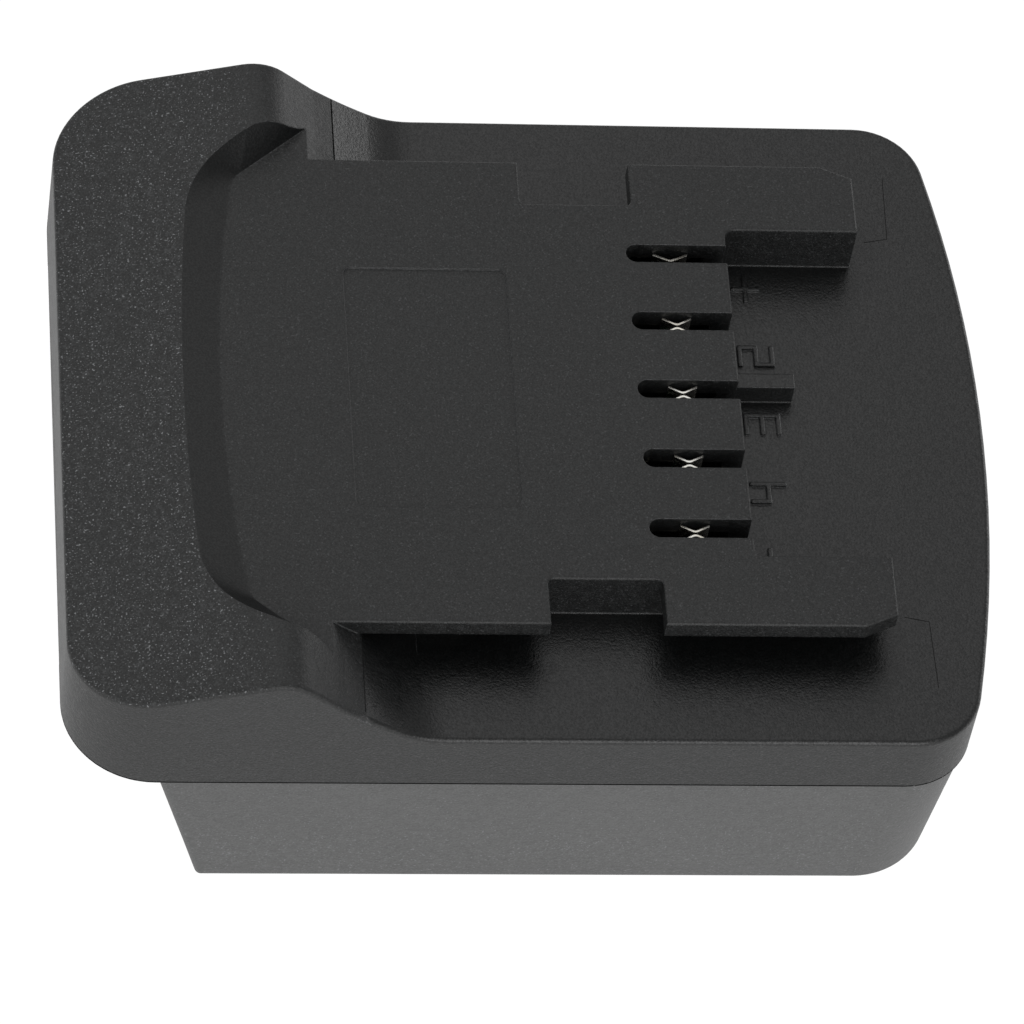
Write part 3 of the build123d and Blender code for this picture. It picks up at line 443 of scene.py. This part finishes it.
def cover_areas(graph):
    """Shares of the hood's top, the satin flange and the recess wall, and the wall's gloss with
    painted shade on its turned sides.
    """
    x, y, z = graph.separate(graph.place)
    facing_x, facing_y, facing_z = graph.separate(graph.facing())
    upward = graph.span(facing_z, upward_low, upward_high)
    sideways = graph.math("ABSOLUTE", y)
    on_hood = graph.span(x, hood_grain_end, hood_grain_end - hood_grain_fade)
    beyond = graph.span(x, witness_x - satin_fade, witness_x + satin_fade)
    below_deck = graph.span(z, satin_top, satin_top - satin_fade)
    leaning = graph.span(facing_x, recess_lean_low, recess_lean_high)
    above_deck = graph.span(z, recess_wall_bottom - satin_fade, recess_wall_bottom)
    turn = graph.math("ABSOLUTE", facing_y)
    turned = graph.span(turn, recess_turn_low, recess_turn_high)
    inner = graph.span(sideways, recess_back_half_width, recess_back_half_width - satin_fade)
    outer = graph.span(sideways, recess_side_half_width, recess_side_half_width - satin_fade)
    wall = graph.math("MAXIMUM", inner, graph.times(turned, outer))
    sloping = graph.span(facing_x, hood_lean_low, hood_lean_high)
    hood = graph.times(graph.times(on_hood, upward), sloping)
    flange = graph.times(graph.times(beyond, below_deck), upward)
    recess = graph.times(graph.times(leaning, above_deck), wall)
    # Painted shade: less gloss on the recess wall where it turns sideways
    side_shade = graph.span(turn, 0, recess_side_turn, 0, 1 - recess_side_shaded_gloss)
    recess_shade_gloss = graph.math("SUBTRACT", 1.0, graph.times(side_shade, recess))
    return hood, flange, recess, recess_shade_gloss


def cover_plastic(name):
    """The cover's plastic: grained on the hood and deck, satin on the flange and slope.

    The satin part starts at the witness line and ends below the top edges of the deck's
    rails. The hood's top has the most painted glints, and the recess wall has few and
    is darkened with painted shade."""
    graph = Graph(name)
    hood, flange, recess, recess_shade_gloss = cover_areas(graph)
    height = grain_height(graph, cover_grain)
    # Painted shade on the recess wall: a darker tone here, and below fewer glints and less gloss
    satin_and_shade = graph.math("MAXIMUM", flange, recess)
    tone = graph.times(grain_tone(graph, height), graph.pick(satin_and_shade, 1, satin_and_shade_tone))
    # Painted highlights: glints, and dimmer glints on the grain's peaks, most on the hood's top
    spots = graph.noise(glint_size * cover_grain, glint_detail)
    glint = graph.span(spots, glint_start, glint_full)
    glint = graph.times(glint, graph.pick(hood, deck_sparkle, hood_sparkle))
    dim_glint = graph.span(height, dim_glint_start, dim_glint_full)
    dim_glint = graph.times(dim_glint, graph.pick(hood, deck_dim_glint, hood_dim_glint))
    bright = graph.times(graph.math("MAXIMUM", glint, dim_glint), graph.pick(flange, 1, 0))
    bright = graph.times(bright, graph.pick(recess, 1, 1 - recess_glint_loss))
    # Painted highlight along the edges
    bright = graph.math("MAXIMUM", bright, edge_highlight(graph, cover_edge_highlight))
    rough = graph.pick(flange, cover_rough, satin_rough)
    spread = graph.span(height, grain_low, grain_high, -rough_spread, rough_spread)
    graph.feed(
        Base_Color=graph.mix(bright, graph.tone(tone), glint_colour),
        Roughness=graph.math("ADD", rough, spread),
        Specular_IOR_Level=graph.times(grain_gloss(graph, cover_grain), recess_shade_gloss),
    )
    relief = graph.times(height, graph.pick(flange, 1, satin_relief))
    graph.bump(relief, cover_relief, grain_depth, cover_edge_radius)
    return graph.material


def seam(name, gloss):
    """Painted shade for a hairline gap or a mould's witness line, a little uneven."""
    graph = Graph(name)
    graph.set(Roughness=seam_rough, Specular_IOR_Level=gloss)
    unevenness = graph.span(graph.noise(seam_unevenness_size), grain_low, grain_high)
    graph.feed(Base_Color=graph.tone(unevenness))


def metal(name, rough, stretch):
    """Bare or plated metal with fine drawn lines and slight tarnish."""
    graph = Graph(name)
    lines = graph.noise(metal_line_size, mottle_detail, stretch)
    tarnish = graph.noise(metal_tarnish_size, mottle_detail)
    graph.set(Metallic=1.0)
    graph.feed(
        Base_Color=graph.tone(graph.span(tarnish, grain_low, grain_high)),
        Roughness=varied_roughness(graph, lines, rough),
    )
    graph.bump(lines, metal_line_relief, metal_line_depth, metal_edge_radius)
    return graph.material


def laminate(name):
    """Circuit board laminate: solder mask over faint copper runs."""
    graph = Graph(name)
    runs = graph.add("ShaderNodeTexBrick")
    runs.inputs["Scale"].default_value = 1 / laminate_run_size
    runs.inputs["Mortar Size"].default_value = laminate_run_gap
    graph.link(graph.place, runs.inputs["Vector"])
    graph.set(Roughness=laminate_rough)
    graph.feed(Base_Color=graph.tone(runs.outputs["Fac"]))
    graph.bump(runs.outputs["Fac"], laminate_relief, laminate_depth, coat_edge_radius)
    return graph.material


def coated(name, rough):
    """Painted, moulded or insulated small parts."""
    graph = Graph(name)
    mottle = graph.noise(coat_mottle_size, mottle_detail)
    graph.set(Roughness=rough)
    graph.feed(Base_Color=graph.tone(graph.span(mottle, grain_low, grain_high)))
    graph.bump(mottle, coat_relief, coat_depth, coat_edge_radius)
    return graph.material


def slot_materials():
    """One procedural material for each material slot of the record."""
    materials = {
        "cover_plastic": cover_plastic("cover_plastic"),
        "board_laminate": laminate("board_laminate"),
    }
    for name, values in mouldings.items():
        materials[name] = moulded_plastic(name, **values)
    for name, values in metals.items():
        materials[name] = metal(name, **values)
    for name, rough in coat_roughness.items():
        materials[name] = coated(name, rough)
    return materials


def paint_nodes():
    """Every CAD node gets the material of its slot in the record."""
    materials = slot_materials()
    for part in frame["record"]["subparts"]:
        data = frame["nodes"][part["node"]].data
        data.materials.clear()
        data.materials.append(materials[part["material_slot"]])


def surface_points(cover, corners, step):
    """Points on the cover's upper surface along a run of corners given in plan, with normals."""
    places = []
    for first, second in zip(corners, corners[1:]):
        count = max(1, round((second - first).length / step))
        places += [first.lerp(second, index / count) for index in range(count)]
    places.append(corners[-1])
    rows = []
    for place in places:
        start = Vector((place.x, place.y, ray_start))
        hit, point, normal, _ = cover.ray_cast(start, Vector((0, 0, -1)))
        if hit:
            rows.append((point, normal))
    return rows


def rim_points(cover, step_count):
    """Points round the rim's lower edge, from one side of the button's opening to the other.

    A ray into the opening would meet the wall at the other end from inside, so it is left out."""
    rows = []
    level = seam_level + seam_height / 2
    for index in range(step_count + 1):
        turn = math.pi * (2 * index / step_count - 1)
        outward = Vector((math.cos(turn), math.sin(turn), 0))
        start = outward * ray_start + Vector((0, 0, level))
        hit, point, normal, _ = cover.ray_cast(start, -outward)
        through_opening = outward.x < 0 and abs(point.y) < button_opening_half
        if hit and not through_opening:
            rows.append((point, normal))
    return rows


def add_bar(name, rows, width, look):
    """A thin closed bar that lies in the surface along the given points."""
    mesh = bmesh.new()
    rings = []
    for index, (point, normal) in enumerate(rows):
        before = rows[max(0, index - 1)][0]
        after = rows[min(len(rows) - 1, index + 1)][0]
        across = (after - before).normalized().cross(normal).normalized() * width / 2
        top = point + normal * line_proud
        low = point - normal * line_depth
        corners = (top - across, top + across, low + across, low - across)
        rings.append([mesh.verts.new(corner) for corner in corners])
    for first, second in zip(rings, rings[1:]):
        for index in range(len(first)):
            following = (index + 1) % len(first)
            corners = (first[index], first[following], second[following], second[index])
            mesh.faces.new(corners)
    mesh.faces.new(reversed(rings[0]))
    mesh.faces.new(rings[-1])
    bmesh.ops.recalc_face_normals(mesh, faces=mesh.faces)
    data = bpy.data.meshes.new(name)
    mesh.to_mesh(data)
    mesh.free()
    bar = bpy.data.objects.new(name, data)
    bpy.context.scene.collection.objects.link(bar)
    data.materials.append(bpy.data.materials[look])
    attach(bar, "case")


def add_hairlines():
    """Dark bars of painted shade: witness lines on the slope and flange, and the seam between
    cover and foot.
    """
    for name, gloss in seam_shadow_gloss.items():
        seam(name, gloss)
    cover = frame["nodes"]["upper_cover"]
    sides = (
        (1, "left", witness_width, "seam_shadow_deep"),
        (-1, "right", witness_near_width, "seam_shadow_soft"),
    )
    for side, word, width, look in sides:
        ends = [Vector((witness_x, side * y)) for y in (witness_inner_y, witness_outer_y)]
        add_bar(f"witness_line_shade_{word}", surface_points(cover, ends, line_step), width, look)
        corners = [Vector((corner.x, side * corner.y)) for corner in insert_line_shade]
        insert_rows = surface_points(cover, corners, line_step)
        add_bar(f"insert_line_shade_{word}", insert_rows, insert_width, "seam_shadow_soft")
    # A dark bar of painted shade in the seam under the rim
    add_bar("rim_seam_shadow", rim_points(cover, rim_steps), seam_height, "seam_shadow_deep")


def is_seen(tree, kinds):
    """One where the ray is of any of the given kinds."""
    path = tree.nodes.new("ShaderNodeLightPath")
    seen = path.outputs[kinds[0]]
    for kind in kinds[1:]:
        either = tree.nodes.new("ShaderNodeMath")
        either.operation = "MAXIMUM"
        tree.links.new(seen, either.inputs[0])
        tree.links.new(path.outputs[kind], either.inputs[1])
        seen = either.outputs["Value"]
    return seen


def scaled(tree, value, low, high):
    """The low number where the value is zero and the high number where it is one."""
    node = tree.nodes.new("ShaderNodeMapRange")
    node.inputs["To Min"].default_value = low
    node.inputs["To Max"].default_value = high
    tree.links.new(value, node.inputs["Value"])
    return node.outputs["Result"]


def add_floor():
    """A plain pale floor that looks white and still takes a soft shadow."""
    bpy.ops.mesh.primitive_plane_add(size=floor_size)
    floor = bpy.context.object
    floor.name = "floor"
    material = bpy.data.materials.new("floor_white")
    material.use_nodes = True
    tree = material.node_tree
    tree.nodes.clear()
    output = tree.nodes.new("ShaderNodeOutputMaterial")
    blend = tree.nodes.new("ShaderNodeMixShader")
    matt = tree.nodes.new("ShaderNodeBsdfDiffuse")
    matt.inputs["Color"].default_value = floor_colour
    white = tree.nodes.new("ShaderNodeEmission")
    white.inputs["Strength"].default_value = floor_glow
    seen = is_seen(tree, floor_white_rays)
    tree.links.new(scaled(tree, seen, 0.0, floor_white_share), blend.inputs[0])
    tree.links.new(matt.outputs["BSDF"], blend.inputs[1])
    tree.links.new(white.outputs["Emission"], blend.inputs[2])
    tree.links.new(blend.outputs["Shader"], output.inputs["Surface"])
    floor.data.materials.append(material)


def add_studio():
    """Soft light from all round, and four panels."""
    world = bpy.data.worlds.new("world")
    world.use_nodes = True
    tree = world.node_tree
    background = tree.nodes["Background"]
    background.inputs["Color"].default_value = sky_colour
    seen = is_seen(tree, ("Is Camera Ray",))
    tree.links.new(scaled(tree, seen, sky_strength, 1.0), background.inputs["Strength"])
    bpy.context.scene.world = world
    for name, values in lamps.items():
        add_area_light(name, **values)
    bpy.context.scene.view_settings.view_transform = "Standard"


paint_nodes()
add_hairlines()
add_floor()
add_studio()
add_camera()
